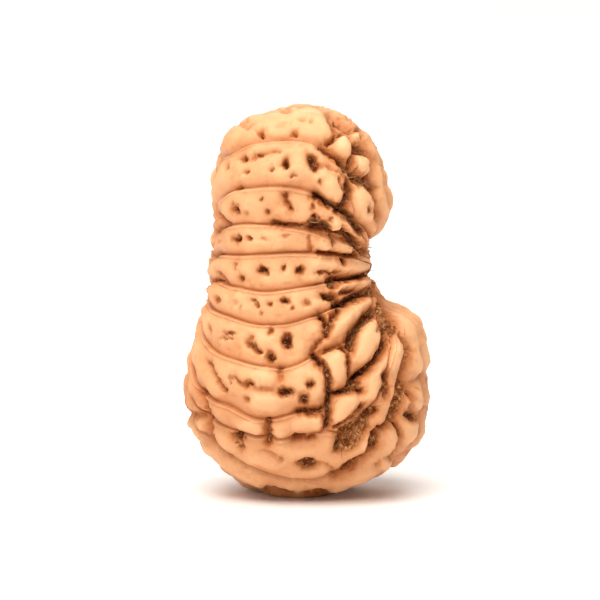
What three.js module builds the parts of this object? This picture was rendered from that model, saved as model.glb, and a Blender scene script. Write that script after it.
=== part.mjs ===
// A nineteen mukhi rudraksha: the stone of a rudraksha fruit, grown as one solid piece.
// It stands on its broad lower lobe. Nineteen seams, the mukhi lines, part it into
// swollen bands. They leave the mouth in the notch on the right, cross the front, and
// meet again at the far pole on the back left.
//
// Millimetres, +Z up. The front is seen along +Y, with +X to the right, and the
// origin is at the middle of the base.
import * as THREE from "three";

// Driving dimensions
const HEIGHT = 33.7;
const SEAMS = 19;
const SQUARENESS = 2.3;
const CENTRE = new THREE.Vector3(0.2, 2.2, 18.8);
const MOUTH_AXIS = new THREE.Vector3(5.9, -1.9, 1.1).normalize();
const SEAM_DEPTH = 0.62;
const CROWN_POWERS = [2.2, 5];
const OPEN_BAND = 1.6;
const FRONT_COLUMNS = 7;
const HIDDEN_COLUMNS = 5;
const ROWS = 52;
const ROW_CROWDING = 0.3;
const STONE_COLOUR = 0xe3a373;

// Outlines of the body over its height, as [height, distance from the middle]
const LEFT = [
  [0, -3.3], [0.3, -4.4], [1, -5.9], [2.7, -7.9], [4.4, -9.1], [7, -10.2], [8.6, -10.55],
  [11, -10.25], [14, -9.45], [17, -8.7], [20, -8.4], [22.5, -8.1], [25.5, -8.1],
  [28.5, -7.65], [30.5, -7.1], [31.5, -6.5], [32.4, -5.2], [33.1, -3.4], [33.5, -2.3],
  [HEIGHT, -0.9],
];
const RIGHT = [
  [0, 2], [0.3, 3.4], [1, 5.4], [2, 7.1], [3.4, 8.7], [4.6, 9.8], [6, 10.3], [8.2, 10.6],
  [11, 10.5], [12.8, 10.4], [14.2, 10], [15, 9.4], [15.8, 8.3], [17, 7], [18.3, 6.2],
  [20.2, 5.7], [21.8, 5.9], [23, 6.7], [24.1, 7.3], [25, 7.5], [27, 7], [29, 6.5],
  [30.6, 5.8], [31.5, 5], [32.4, 3.6], [33.1, 2.4], [33.5, 1.6], [HEIGHT, 0.5],
];
const FRONT = [
  [0, -3], [0.3, -4], [1.2, -5.8], [3, -7.6], [5.5, -8.8], [9, -9.3], [12, -8.9],
  [15, -8], [18, -7.2], [21, -6.9], [24, -7.2], [27, -7.3], [29.5, -6.7], [31.3, -5.6],
  [32.4, -4.1], [33.2, -2.4], [HEIGHT, -0.5],
];
const BACK = [
  [0, 3], [0.3, 4], [1.2, 5.9], [3, 7.7], [5.5, 8.9], [9, 9.4], [12, 9.1], [15, 8.3],
  [18, 7.6], [21, 7.4], [24, 7.7], [27, 7.8], [29.5, 7.2], [31.3, 5.9], [32.4, 4.4],
  [33.2, 2.7], [HEIGHT, 0.6],
];

// The front relief was read off a photograph of 600 x 600 pixels, so its places are
// given in that picture: one pixel covers PIXEL millimetres of the stone.
const PIXEL = 0.086;
const PICTURE_MIDDLE = 305.5;
const PICTURE_BASE = 497;
const PICTURE_TILT = THREE.MathUtils.degToRad(8);
const BASE_DIP = 0.42;
const SIGHT_STEP = 0.1;

// Routes of the seams across the front, from the left edge to the mouth
const SEAM_ROUTES = [
  [[333, 112], [350, 129], [363, 144], [371, 168], [373, 188], [378, 207], [379, 222]],
  [[219, 160], [237, 151], [265, 142.7], [300, 142], [329, 155], [347, 170], [350, 197], [355, 225]],
  [[216, 206], [231, 193], [262, 190], [302, 193], [329, 207], [350, 221], [362, 236]],
  [[217, 231], [242, 226], [277, 228], [311, 234], [333, 241], [351, 246], [366, 257]],
  [[213, 255], [255, 256], [293, 254.5], [332, 256.5], [352, 258], [370, 263]],
  [[213, 280], [237, 288], [286, 290], [325, 283], [353, 278], [371, 273]],
  [[205, 305], [224, 315], [264, 324.5], [305, 318], [340, 304], [368, 291]],
  [[199, 331], [224, 355], [263, 365], [299, 362.5], [319, 350], [347, 339], [360, 324], [374, 306]],
  [
    [193, 381], [224, 404], [263, 419], [295, 412], [324, 406], [342, 390], [362, 371],
    [380, 350], [385, 328], [380, 308],
  ],
  [
    [203, 415], [237, 431], [277, 438.6], [322, 432], [352, 430], [371, 409], [385, 380],
    [391, 350], [394, 330], [387, 311],
  ],
  [
    [214, 445], [254, 470], [290, 481], [332, 478], [360, 463], [376, 437], [394, 413],
    [402, 385], [408, 360], [403, 334], [393, 314],
  ],
];

// Pits of the front, as [across, down, width, height] in pixels and depth in millimetres
const PITS = [
  [260, 134, 7, 9, 0.6], [295, 133, 7, 7, 0.6], [283, 111, 5, 6, 0.4], [288, 109.5, 5, 4, 0.4],
  [242.5, 161, 9, 8, 0.6], [286, 165, 6, 9, 0.75], [272, 171.5, 7, 4, 0.5], [246.5, 174, 7, 4, 0.5],
  [293, 178, 8, 4, 0.4], [227, 169, 4, 8, 0.4], [236, 190, 7, 4, 0.4], [321, 184, 4, 8, 0.4],
  [235, 211, 9, 8, 0.7], [232, 205, 5, 6, 0.4], [260, 201, 5, 6, 0.5], [267.5, 214, 6, 7, 0.6],
  [313, 209, 6, 7, 0.5], [314.5, 219.5, 6, 5, 0.7], [331, 222, 6, 6, 0.4], [368, 210, 5, 7, 0.6],
  [236, 240, 10, 8, 0.7], [249, 240, 8, 4, 0.5], [234, 268, 4, 7, 0.4], [240, 279, 7, 7, 0.6],
  [263, 271, 10, 8, 0.75], [268, 275, 5, 4, 0.5], [284, 269, 5, 7, 0.5], [300, 271, 9, 10, 0.7],
  [333, 282, 11, 12, 0.8], [344.7, 262, 6, 5, 0.6], [354, 255, 7, 5, 0.6], [216, 299, 7, 7, 0.5],
  [253, 301, 6, 4, 0.4], [257, 305, 4, 5, 0.5], [270, 304, 6, 5, 0.5], [285, 301, 9, 7, 0.7],
  [293, 308, 5, 5, 0.4], [209, 328, 4, 9, 0.4], [229, 332, 13, 4, 0.5], [227, 338, 14, 4, 0.5],
  [252, 337, 6, 5, 0.4], [271, 331, 6, 8, 0.5], [287, 340, 10, 16, 0.95], [270, 355, 8, 11, 0.8],
  [231, 376, 5, 4, 0.6], [251, 383, 14, 6, 0.8], [247, 398, 6, 6, 0.5], [286, 390.5, 17, 8, 1],
  [304, 397, 10, 12, 0.9], [310.5, 383, 8, 8, 0.8], [224, 389, 5, 4, 0.6], [198, 391, 7, 12, 0.4],
  [238.5, 436, 13, 8, 1], [241, 446, 8, 14, 0.4], [268, 427, 5, 6, 0.6], [267, 439, 5, 5, 0.6],
  [307, 463.5, 19, 10, 1.1], [353, 352, 4, 8, 0.4], [355, 381, 10, 18, 1.1], [385, 376, 8, 12, 1],
  [386, 388, 8, 18, 0.8], [361, 405.5, 7, 7, 0.8], [412, 416, 13, 10, 1], [417, 387, 5, 5, 0.4],
];

// Crevices of the front: their width in pixels, depth in millimetres and points
const CREVICES = [
  [4, 0.7, [331, 119], [334, 127], [338, 134], [334, 138], [328, 143]],
  [5, 0.7, [340, 124], [345, 128], [351, 130]],
  [4, 0.6, [338, 134], [346, 137], [350, 144], [355, 150]],
  [6, 0.9, [322, 146], [330, 151], [343, 160], [350, 168], [357, 179]],
  [4, 0.7, [351, 147], [353, 158], [353, 168], [357, 179]],
  [5, 0.8, [358, 130], [362, 140], [364, 156], [370, 165], [371, 173], [369, 181]],
  [8, 0.9, [353, 150], [359, 154], [364, 156]],
  [10, 1.1, [358, 182], [367, 184], [372, 191]],
  [4, 0.8, [372, 191], [377, 206], [379, 221]],
  [8, 0.75, [311, 160], [315, 169]],
  [4, 0.5, [339, 181], [341, 190], [347, 193]],
  [7, 0.9, [316, 199], [329, 206], [338, 210], [346, 208], [348, 196], [348, 184]],
  [10, 1, [337, 211], [347, 214], [354, 223], [361, 234]],
  [6, 0.5, [250, 161], [258, 158], [266, 155], [279, 153]],
  [6, 0.5, [284, 198], [287, 205], [291, 211]],
  [4, 0.5, [216, 213], [219, 219], [222, 225]],
  [5, 0.5, [272, 226], [297, 227], [312, 228]],
  [12, 1.2, [314, 228], [324, 230]],
  [6, 1, [324, 232], [333, 236], [344, 236]],
  [8, 1, [342, 231], [346, 238], [358, 244], [366, 249]],
  [3, 0.5, [333, 240], [334, 247]],
  [4, 0.55, [320, 254], [335, 257.5], [350, 257.5], [358, 254]],
  [5, 0.7, [338, 279], [350, 279], [364, 277.5], [371, 273]],
  [5, 0.6, [329, 287], [342, 285], [356, 280]],
  [5, 0.5, [343, 291], [357, 289]],
  [8, 0.9, [325, 296], [336, 296]],
  [9, 1, [338, 302], [348, 297], [358, 296], [372, 290]],
  [4, 0.4, [216, 272], [219, 277], [221, 282]],
  [6, 0.7, [338, 303], [340, 309], [332, 318], [328, 328], [325, 335]],
  [5, 0.5, [325, 335], [315, 342], [312, 351], [315, 358]],
  [5, 0.8, [320.5, 316], [326, 320], [327, 326]],
  [5, 0.45, [373, 240], [375, 262], [376, 288]],
  [8, 1.1, [377, 291], [382, 300], [387, 312], [388, 322]],
  [6, 1.1, [388, 320], [386, 330], [386, 342], [383, 351], [371, 364], [363, 371], [356, 376]],
  [6, 0.9, [388, 313], [394, 321], [395, 329]],
  [8, 1, [375, 309], [366, 316], [358, 325], [351, 334], [350, 345]],
  [3.5, 0.8, [341, 346], [347, 351], [349, 360], [349, 386]],
  [4, 0.5, [350, 345], [341, 346], [330, 347], [317, 353]],
  [7, 0.9, [314, 354], [321, 364], [328, 371], [328, 382], [328, 393]],
  [5, 0.9, [328, 393], [340, 391], [350, 389], [361, 389]],
  [3, 0.4, [379, 312], [381, 320], [377, 331]],
  [6, 0.9, [328, 393], [328, 404], [329, 414], [326, 426]],
  [3, 0.6, [320, 410], [325, 422]],
  [6, 0.6, [360, 407], [352, 414], [343, 422], [334, 427]],
  [9, 0.7, [375, 409], [364, 415], [357, 421]],
  [17, 1.15, [360, 424], [353, 434], [347, 441]],
  [8, 1, [344, 430], [340, 437], [338, 447]],
  [8, 1, [375, 432], [374, 446]],
  [9, 0.9, [403, 381], [402, 394], [397, 408], [393, 417]],
  [4, 0.7, [393, 417], [390, 426], [383, 429], [377, 426]],
  [4, 0.7, [409, 384], [412, 397], [410, 408]],
  [4, 0.5, [424, 377], [414, 381], [406, 380]],
  [4, 0.5, [425, 411], [414, 411]],
  [4, 0.4, [424, 340], [415, 343], [409, 346]],
  [5, 0.7, [400, 334], [406, 342], [411, 352], [407, 364], [404, 375], [404, 382]],
  [4, 0.7, [393, 417], [399, 427], [401, 436], [397, 448], [391, 458]],
  [6, 0.9, [370, 448], [366, 456], [356, 465], [347, 473], [334, 478]],
  [3, 0.4, [392, 458], [383, 457], [377, 466]],
  [8, 0.55, [268, 421], [267, 432], [268, 443]],
  [5, 0.6, [294, 438], [302, 437], [314, 437]],
  [10, 0.5, [299, 410], [312, 411], [322, 409]],
  [9, 0.4, [245, 386], [258, 387], [272, 388]],
  [4, 0.5, [206, 361], [213, 371], [219, 381], [224, 389]],
  [4, 0.45, [200, 400], [205, 409], [208, 421]],
  [4, 0.5, [234, 376], [240, 383], [246, 385]],
  [6, 0.7, [250, 343], [254, 346], [258, 350]],
  [7, 0.5, [208, 232], [222, 230]],
  [7, 0.45, [203, 254], [218, 256]],
  [7, 0.4, [204, 280], [218, 281]],
  [7, 0.6, [190, 413], [204, 415]],
  [5, 0.4, [236, 123], [247, 128]],
];

// Lobes of the front, as the pits, with their rise in millimetres
const LOBES = [
  [343, 148, 18, 24, 0.3], [355, 138, 13, 16, 0.3], [362, 168, 20, 22, 0.3], [333, 193, 28, 28, 0.25],
  [362, 205, 28, 44, 0.25], [334, 227.5, 14, 13, 0.6], [325, 247, 16, 14, 0.2], [345, 249, 16, 14, 0.2],
  [318, 279, 18, 10, 0.2], [322, 303, 30, 10, 0.2], [335, 369, 28, 42, 0.3], [369, 334, 26, 36, 0.3],
  [366, 356, 26, 26, 0.25], [345, 406, 30, 34, 0.35], [265, 376, 24, 18, 0.25],
  [306, 385, 42, 40, 0.15], [274, 404, 46, 22, 0.25], [249, 429, 24, 20, 0.25],
  [282, 431, 22, 20, 0.25], [308, 424, 32, 22, 0.3], [408, 324, 30, 30, 0.25], [419, 355, 18, 32, 0.25],
  [419, 397, 16, 26, 0.3], [411, 430, 28, 30, 0.3], [393, 438, 16, 28, 0.25], [407, 403, 6, 16, 0.3],
  [386, 463, 18, 14, 0.25],
];

// Raised ridges of the front, as the crevices, with their rise in millimetres
const RIDGES = [
  [9, 0.3, [330, 212], [345, 225], [358, 236], [366, 243]],
  [12, 0.2, [318, 265], [339, 268], [353, 271], [367, 268]],
  [6, 0.3, [340, 289], [353, 284], [368, 283]],
  [15, 0.4, [374, 300], [350, 317], [334, 330], [324, 339]],
  [18, 0.3, [396, 346], [390, 362], [372, 392]],
  [8, 0.3, [375, 426], [366, 438], [363, 450]],
  [2.5, 0.4, [380, 303], [384, 312], [384, 326]],
];

// A hollow has a steep part, where it reaches most of its depth, and rounded slopes round it.
// None is drawn narrower than the mesh can follow. Sides are [where they start, where they end],
// in half widths of the feature.
const STEEP_SHARE = 0.65;
const STEEP_SIDE = [0.1, 1.2];
const PIT_SLOPE = 0.6;
const PIT_REACH = 2.4;
const CREVICE_SLOPE = 0.85;
const SLOPE_PIXELS = 9;
const NARROWEST = 12;
const LOBE_SIDE = [0.2, 1.25];
const RIDGE_SIDE = [0.1, 1.3];

// How the front's relief gives way to the habit of the sides and back, by how far the skin
// turns toward the picture, and how the top and underside share in it: they are seen too flat
// to read
const FRONT_FADE = [-0.3, 0];
const HIDDEN_FADE = [0.05, 0.35];
const FLAT_FADE = [0.75, 0.95];
const FLAT_SHARE = 0.75;

// Seams of the sides and back: how unevenly they part the girth, and how they wave
const GIRTH_SAMPLES = 400;
const SEAM_JITTER = 0.35;
const SEAM_WAVE = { rise: 0.06, waves: 3 };

// Pits and lumps of the sides and back, which follow the habit of the bands that do show
const PIT_ROW_ENDS = [0.4, 2.84];
const PIT_ROW_WIDTH = 1.9;
const PIT_ROW_JITTER = 0.4;
const PIT_STRIDE = [1.7, 2.9];
const PIT_RADIUS = [0.45, 0.8];
const PIT_DEPTH = [0.4, 0.85];
const PIT_SIDE = [0.3, 1.4];
const POLE_DIMPLE = { radius: 1.3, depth: 0.8 };
const LUMP_RISE = 0.22;
const SMALL_LUMP_SHARE = 0.6;

// Weight of a grid point's own relief beside that of its four neighbours, when it is softened
const OWN_WEIGHT = 5;

// Height over which the relief fades into the small flat spot that the stone stands on
const REST_BLEND = 0.4;

// Halvings of a ray that find where it leaves the body
const RAY_HALVINGS = 30;

// A repeatable draw between 0 and 1
function seededDraw(seed) {
  let state = seed;
  return () => {
    state = (Math.imul(state, 1664525) + 1013904223) >>> 0;
    return state / 4294967296;
  };
}

// The next draw, as a value between two limits
function between(draw, [low, high]) {
  return low + (high - low) * draw();
}

// Slope at one point of an outline, flat at its turning points so that it never overshoots
function slopeAt(points, i) {
  if (i === 0 || i === points.length - 1) {
    const [a, b] = i === 0 ? [points[0], points[1]] : [points[i - 1], points[i]];
    return (b[1] - a[1]) / (b[0] - a[0]);
  }
  const before = (points[i][1] - points[i - 1][1]) / (points[i][0] - points[i - 1][0]);
  const after = (points[i + 1][1] - points[i][1]) / (points[i + 1][0] - points[i][0]);
  return before * after <= 0 ? 0 : (2 * before * after) / (before + after);
}

// Smooth curve through [position, value] points, held at its end values beyond them
function along(points, position) {
  const last = points.length - 1;
  if (position <= points[0][0]) return points[0][1];
  if (position >= points[last][0]) return points[last][1];
  let i = 0;
  while (points[i + 1][0] < position) i += 1;
  const span = points[i + 1][0] - points[i][0];
  const s = (position - points[i][0]) / span;
  const start = points[i][1] + slopeAt(points, i) * span * s;
  const end = points[i + 1][1] - slopeAt(points, i + 1) * span * (1 - s);
  const ease = s * s * (3 - 2 * s);
  return start * (1 - ease) + end * ease;
}

// Level of a point against the smooth body, whose sections are rounded ovals: 1 on its skin
function bodyLevel(p) {
  if (p.z < 0 || p.z > HEIGHT) return Infinity;
  const [left, right] = [along(LEFT, p.z), along(RIGHT, p.z)];
  const [front, back] = [along(FRONT, p.z), along(BACK, p.z)];
  const across = Math.abs((2 * p.x - left - right) / (right - left));
  const deep = Math.abs((2 * p.y - front - back) / (back - front));
  return across ** SQUARENESS + deep ** SQUARENESS;
}

// Where a ray that starts inside the body leaves it
function surfaceAlong(start, direction) {
  let near = 0;
  let far = HEIGHT;
  for (let halving = 0; halving < RAY_HALVINGS; halving += 1) {
    const middle = (near + far) / 2;
    const p = start.clone().addScaledVector(direction, middle);
    if (bodyLevel(p) < 1) near = middle;
    else far = middle;
  }
  return start.clone().addScaledVector(direction, near);
}

// Polar angles about the axis from the far pole to the mouth: 0 faces the front, 90 is up
const UPWARD = new THREE.Vector3(0, 0, 1).projectOnPlane(MOUTH_AXIS).normalize();
const FORWARD = MOUTH_AXIS.clone().cross(UPWARD);

function directionAt(fromMouth, turn) {
  const sideways = FORWARD.clone().multiplyScalar(Math.cos(turn)).addScaledVector(UPWARD, Math.sin(turn));
  return sideways.multiplyScalar(Math.sin(fromMouth)).addScaledVector(MOUTH_AXIS, Math.cos(fromMouth));
}

// The picture: where a point of the stone is seen, and which point is seen at a place
const SIGHT = new THREE.Vector3(0, Math.cos(PICTURE_TILT), -Math.sin(PICTURE_TILT));
const PICTURE_UP = new THREE.Vector3(0, Math.sin(PICTURE_TILT), Math.cos(PICTURE_TILT));

function pictureOf(p) {
  return [PICTURE_MIDDLE + p.x / PIXEL, PICTURE_BASE - (p.dot(PICTURE_UP) + BASE_DIP) / PIXEL];
}

// A place just off the outline gives the nearest point of the body's edge
function pointSeenAt([across, down]) {
  const p = PICTURE_UP.clone().multiplyScalar((PICTURE_BASE - down) * PIXEL - BASE_DIP);
  p.x = (across - PICTURE_MIDDLE) * PIXEL;
  p.addScaledVector(SIGHT, -HEIGHT);
  const seen = { point: p.clone(), level: Infinity };
  for (let travel = 0; travel < 2 * HEIGHT && seen.level > 1; travel += SIGHT_STEP) {
    p.addScaledVector(SIGHT, SIGHT_STEP);
    const level = bodyLevel(p);
    if (level < seen.level) Object.assign(seen, { point: p.clone(), level });
  }
  return seen.point;
}

// Turn of each front seam about the axis, as [angle from the mouth, turn] points
function seamTurns(route) {
  const points = route.map((place) => {
    const d = pointSeenAt(place).sub(CENTRE).normalize();
    return [Math.acos(d.dot(MOUTH_AXIS)), Math.atan2(d.dot(UPWARD), d.dot(FORWARD))];
  });
  return points.sort((a, b) => a[0] - b[0]);
}

// Shares of the hidden turn that part the girth there into bands of like width
function hiddenShares(count, turnFrom, turnTo) {
  const lengths = [0];
  let before = surfaceAlong(CENTRE, directionAt(Math.PI / 2, turnFrom));
  for (let i = 1; i <= GIRTH_SAMPLES; i += 1) {
    const turn = turnFrom + ((turnTo - turnFrom) * i) / GIRTH_SAMPLES;
    const here = surfaceAlong(CENTRE, directionAt(Math.PI / 2, turn));
    lengths.push(lengths[i - 1] + here.distanceTo(before));
    before = here;
  }
  const draw = seededDraw(19);
  return Array.from({ length: count }, (_, i) => {
    const goal = (lengths[GIRTH_SAMPLES] * (i + 1 + SEAM_JITTER * (draw() - 0.5))) / (count + 1);
    return lengths.findIndex((length) => length >= goal) / GIRTH_SAMPLES;
  });
}

// All seams in order: down the front from the top, then under the base and up the back
function allSeams() {
  const front = SEAM_ROUTES.map(seamTurns);
  const first = front[0];
  const last = front[front.length - 1];
  const girth = Math.PI / 2;
  const turnFrom = along(last, girth);
  const turnTo = along(first, girth) - 2 * Math.PI;
  const draw = seededDraw(7);
  const hidden = hiddenShares(SEAMS - front.length, turnFrom, turnTo).map((share) => {
    const phase = 2 * Math.PI * draw();
    return (fromMouth) => {
      const wave = SEAM_WAVE.rise * Math.sin(fromMouth) * Math.sin(SEAM_WAVE.waves * fromMouth + phase);
      return along(last, fromMouth) * (1 - share) + (along(first, fromMouth) - 2 * Math.PI) * share + wave;
    };
  });
  const shown = front.map((points) => (fromMouth) => along(points, fromMouth));
  return [...shown, ...hidden, (fromMouth) => along(first, fromMouth) - 2 * Math.PI];
}

// Smooth step from 0 at one limit to 1 at the other
function step(from, to, value) {
  return THREE.MathUtils.smoothstep(value, from, to);
}

// How far a picture place is from a stroke of points
function distanceToStroke(place, points) {
  let nearest = Infinity;
  for (let i = 0; i + 1 < points.length; i += 1) {
    const [ax, ay] = points[i];
    const [bx, by] = points[i + 1];
    const [dx, dy] = [bx - ax, by - ay];
    const share = ((place[0] - ax) * dx + (place[1] - ay) * dy) / (dx * dx + dy * dy);
    const s = THREE.MathUtils.clamp(share, 0, 1);
    nearest = Math.min(nearest, Math.hypot(place[0] - ax - s * dx, place[1] - ay - s * dy));
  }
  return nearest;
}

// How far a picture place is from an oval's middle: 1 on its edge
function ovalAway(place, [across, down, width, height]) {
  const halfWidth = Math.max(width, NARROWEST) / 2;
  const halfHeight = Math.max(height, NARROWEST) / 2;
  return Math.hypot((place[0] - across) / halfWidth, (place[1] - down) / halfHeight);
}

// Rounded fall beside a hollow: 1 at it, steep there, and level where its reach ends
function pillow(away, reach) {
  return Math.max(1 - away / reach, 0) ** 2;
}

// Depth of the front's pits and crevices at a place in the picture
function hollowAt(place) {
  let steep = 0;
  let slope = 0;
  for (const pit of PITS) {
    const away = ovalAway(place, pit);
    const depth = pit[4];
    steep = Math.max(steep, depth * (1 - step(...STEEP_SIDE, away)));
    slope = Math.max(slope, PIT_SLOPE * depth * pillow(away, PIT_REACH));
  }
  for (const [width, depth, ...points] of CREVICES) {
    const halfWidth = Math.max(width, NARROWEST) / 2;
    const away = distanceToStroke(place, points);
    steep = Math.max(steep, depth * (1 - step(...STEEP_SIDE, away / halfWidth)));
    const side = CREVICE_SLOPE * depth * pillow(away, halfWidth + SLOPE_PIXELS);
    slope = (slope ** 4 + side ** 4) ** 0.25;
  }
  return STEEP_SHARE * steep + slope;
}

// Rise of the front's lobes and ridges at a place in the picture
function swellingAt(place) {
  let rise = 0;
  for (const lobe of LOBES) {
    rise = Math.max(rise, lobe[4] * (1 - step(...LOBE_SIDE, ovalAway(place, lobe))));
  }
  for (const [width, height, ...points] of RIDGES) {
    const away = distanceToStroke(place, points) / (width / 2);
    rise = Math.max(rise, height * (1 - step(...RIDGE_SIDE, away)));
  }
  return rise;
}

// Smooth body, woven from columns that run along the seams and rows that cross them
function bodyGrid() {
  const seams = allSeams();
  const shownBands = SEAM_ROUTES.length - 1;
  const columnsOf = (band) => (band < shownBands ? FRONT_COLUMNS : HIDDEN_COLUMNS);
  const bandColumns = Array.from({ length: SEAMS }, (_, band) => columnsOf(band));
  const columns = bandColumns.reduce((sum, count) => sum + count);
  const points = [surfaceAlong(CENTRE, MOUTH_AXIS)];
  const notes = [{ seamShare: 0.5, bandWidth: 0 }];
  for (let row = 1; row <= ROWS; row += 1) {
    const v = row / (ROWS + 1);
    const fromMouth = Math.PI * v + (ROW_CROWDING * Math.sin(2 * Math.PI * v)) / 2;
    const turns = seams.map((seam) => seam(fromMouth));
    const ends = turns.map((turn) => surfaceAlong(CENTRE, directionAt(fromMouth, turn)));
    bandColumns.forEach((count, band) => {
      const bandWidth = ends[band].distanceTo(ends[band + 1]);
      for (let column = 0; column < count; column += 1) {
        const share = column / count;
        const turn = turns[band] * (1 - share) + turns[band + 1] * share;
        points.push(surfaceAlong(CENTRE, directionAt(fromMouth, turn)));
        notes.push({ seamShare: share, bandWidth });
      }
    });
  }
  points.push(surfaceAlong(CENTRE, MOUTH_AXIS.clone().negate()));
  notes.push({ seamShare: 0.5, bandWidth: 0 });
  return { points, notes, columns, seams };
}

// Triangles of the grid, with a fan at each pole
function gridFaces(columns) {
  const at = (row, column) => 1 + (row - 1) * columns + (column % columns);
  const farPole = 1 + ROWS * columns;
  const faces = [];
  for (let column = 0; column < columns; column += 1) {
    faces.push(0, at(1, column), at(1, column + 1));
    for (let row = 1; row < ROWS; row += 1) {
      faces.push(at(row, column), at(row + 1, column), at(row + 1, column + 1));
      faces.push(at(row, column), at(row + 1, column + 1), at(row, column + 1));
    }
    faces.push(farPole, at(ROWS, column + 1), at(ROWS, column));
  }
  return faces;
}

// Pits of the sides and back, in one row along a narrow band and more along a wide one
function hiddenPits(seams) {
  const draw = seededDraw(108);
  const pits = [1, -1].map((side) => {
    return { point: surfaceAlong(CENTRE, MOUTH_AXIS.clone().multiplyScalar(side)), ...POLE_DIMPLE };
  });
  for (let band = 0; band < SEAMS; band += 1) {
    let fromMouth = PIT_ROW_ENDS[0];
    while (fromMouth < PIT_ROW_ENDS[1]) {
      const turns = [seams[band](fromMouth), seams[band + 1](fromMouth)];
      const place = (share) =>
        surfaceAlong(CENTRE, directionAt(fromMouth, turns[0] * (1 - share) + turns[1] * share));
      const rowCount = Math.max(1, Math.round(place(0).distanceTo(place(1)) / PIT_ROW_WIDTH));
      for (let row = 0; row < rowCount; row += 1) {
        const point = place((row + 0.5 + PIT_ROW_JITTER * (draw() - 0.5)) / rowCount);
        pits.push({ point, radius: between(draw, PIT_RADIUS), depth: between(draw, PIT_DEPTH) });
      }
      fromMouth += between(draw, PIT_STRIDE) / place(0.5).distanceTo(CENTRE);
    }
  }
  return pits;
}

// How far the seams sink the body at one of its points
function seamReliefAt({ seamShare, bandWidth }) {
  const crown = Math.abs(2 * seamShare - 1) ** THREE.MathUtils.clamp(bandWidth, ...CROWN_POWERS);
  return -SEAM_DEPTH * crown * step(0, OPEN_BAND, bandWidth);
}

// Rise of the broad lumps of the sides and back, from crossed waves
function lumpsAt({ x, y, z }) {
  const broad = Math.sin(1.3 * x + 0.5 * z) * Math.sin(1.1 * y - 0.9 * z + 1);
  const small = Math.sin(2.3 * z + 1.7 * y) * Math.sin(2 * x + 0.4);
  return LUMP_RISE * (broad + SMALL_LUMP_SHARE * small);
}

// Rise of the pits, crevices and lobes at one of the body's points
function featureAt(point, normal, pits) {
  const facing = step(...FRONT_FADE, -normal.dot(SIGHT));
  const seenFlat = FLAT_SHARE * step(...FLAT_FADE, Math.abs(normal.z));
  const hidden = Math.max(step(...HIDDEN_FADE, normal.dot(SIGHT)), seenFlat);
  const place = pictureOf(point);
  const front = facing > 0 ? swellingAt(place) - hollowAt(place) : 0;
  let pitted = 0;
  for (const pit of pits) {
    const away = point.distanceTo(pit.point) / pit.radius;
    pitted = Math.max(pitted, pit.depth * (1 - step(...PIT_SIDE, away)));
  }
  return facing * front + hidden * (lumpsAt(point) - pitted);
}

// Each value of the grid eased toward its four neighbours, so that nothing is finer than the mesh
function softened(values, columns) {
  const last = values.length - 1;
  const at = (row, column) => {
    if (row < 0) return values[0];
    if (row === ROWS) return values[last];
    return values[1 + row * columns + ((column + columns) % columns)];
  };
  return values.map((value, i) => {
    if (i === 0 || i === last) return value;
    const row = Math.floor((i - 1) / columns);
    const column = (i - 1) % columns;
    const beside = at(row, column - 1) + at(row, column + 1);
    return (OWN_WEIGHT * value + at(row - 1, column) + at(row + 1, column) + beside) / (OWN_WEIGHT + 4);
  });
}

function stoneGeometry() {
  const { points, notes, columns, seams } = bodyGrid();
  const stone = new THREE.BufferGeometry().setFromPoints(points);
  stone.setIndex(gridFaces(columns));
  stone.computeVertexNormals();
  const normals = points.map((_, i) => new THREE.Vector3().fromBufferAttribute(stone.attributes.normal, i));
  const pits = hiddenPits(seams);
  const features = points.map((point, i) => featureAt(point, normals[i], pits));
  softened(features, columns).forEach((feature, i) => {
    const relief = (seamReliefAt(notes[i]) + feature) * step(0, REST_BLEND, points[i].z);
    const raised = points[i].clone().addScaledVector(normals[i], relief);
    stone.attributes.position.setXYZ(i, raised.x, raised.y, Math.max(raised.z, 0));
  });
  stone.computeBoundingBox();
  const middle = stone.boundingBox.getCenter(new THREE.Vector3());
  stone.translate(-middle.x, -middle.y, 0);
  stone.computeVertexNormals();
  return stone;
}

const stone = new THREE.Mesh(
  stoneGeometry(),
  new THREE.MeshStandardMaterial({ color: STONE_COLOUR, roughness: 0.5, metalness: 0 }),
);
stone.name = "seed_stone";

const rudraksha = new THREE.Group();
rudraksha.add(stone);

export default rudraksha;
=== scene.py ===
import math

import bpy
import numpy as np
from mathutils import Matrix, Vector, kdtree, noise


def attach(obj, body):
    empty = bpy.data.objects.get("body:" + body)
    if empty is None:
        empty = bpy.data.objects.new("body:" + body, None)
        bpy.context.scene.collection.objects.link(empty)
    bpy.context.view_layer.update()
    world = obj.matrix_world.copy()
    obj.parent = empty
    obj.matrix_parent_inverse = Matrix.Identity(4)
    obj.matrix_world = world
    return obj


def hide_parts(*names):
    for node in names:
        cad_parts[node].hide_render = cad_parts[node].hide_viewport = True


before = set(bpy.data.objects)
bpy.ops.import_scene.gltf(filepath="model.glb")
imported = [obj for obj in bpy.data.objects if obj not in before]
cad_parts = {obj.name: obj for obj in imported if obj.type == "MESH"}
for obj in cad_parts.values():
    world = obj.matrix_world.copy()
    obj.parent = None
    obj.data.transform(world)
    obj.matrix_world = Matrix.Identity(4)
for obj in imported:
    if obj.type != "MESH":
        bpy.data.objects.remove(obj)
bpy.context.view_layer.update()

# Seed stone
# The real piece is one woody stone that grew whole: a broad lobe below, a waist with a notch
# on its right, a lobe above. Nineteen seams, the mukhi lines, run from the mouth in the notch
# round to a far pole on the back left, and the bands between them swell and are pitted.
MM = 0.001
HEIGHT = 33.7
SQUARENESS = 2.3
CENTRE = np.array([0.2, 2.2, 18.8])
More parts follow.
